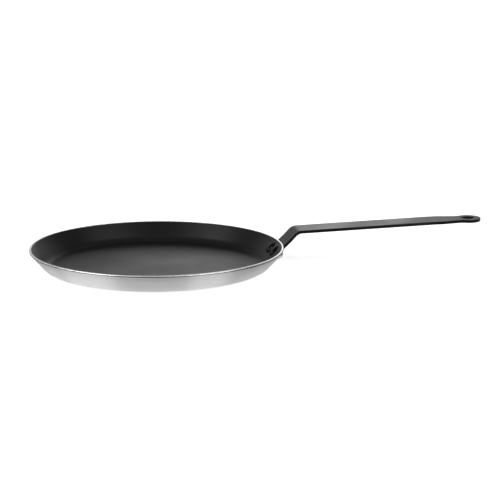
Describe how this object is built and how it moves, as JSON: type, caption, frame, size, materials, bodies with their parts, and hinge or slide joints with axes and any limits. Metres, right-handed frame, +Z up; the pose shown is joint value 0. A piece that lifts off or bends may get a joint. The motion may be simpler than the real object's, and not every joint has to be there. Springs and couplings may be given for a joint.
{
  "type": "crepe pan",
  "caption": "Shallow round aluminium crepe pan with a flared wall, a black non-stick inside and a long cranked flat steel handle, riveted on, with a hanging eye.",
  "frame": {"origin": "centre of the flat underside, on the pan's axis of revolution", "axes": "+Z up along the pan's axis, +X along the handle towards its hanging eye"},
  "size_m": [0.4748, 0.26, 0.0376],
  "materials": {
    "spun_aluminium": "satin, spun, with fine turning lines",
    "nonstick_coating": "satin black non-stick coating with a fine grain",
    "coated_steel": "satin black coating on a flat steel bar",
    "rivet_aluminium": "bright, slightly struck"
  },
  "bodies": {
    "root": {"pan_body": "spun_aluminium", "nonstick_lining": "nonstick_coating", "handle": "coated_steel", "rivet_left": "rivet_aluminium", "rivet_right": "rivet_aluminium", "rivet_coating_left": "nonstick_coating", "rivet_coating_right": "nonstick_coating"}
  },
  "joints": []
}
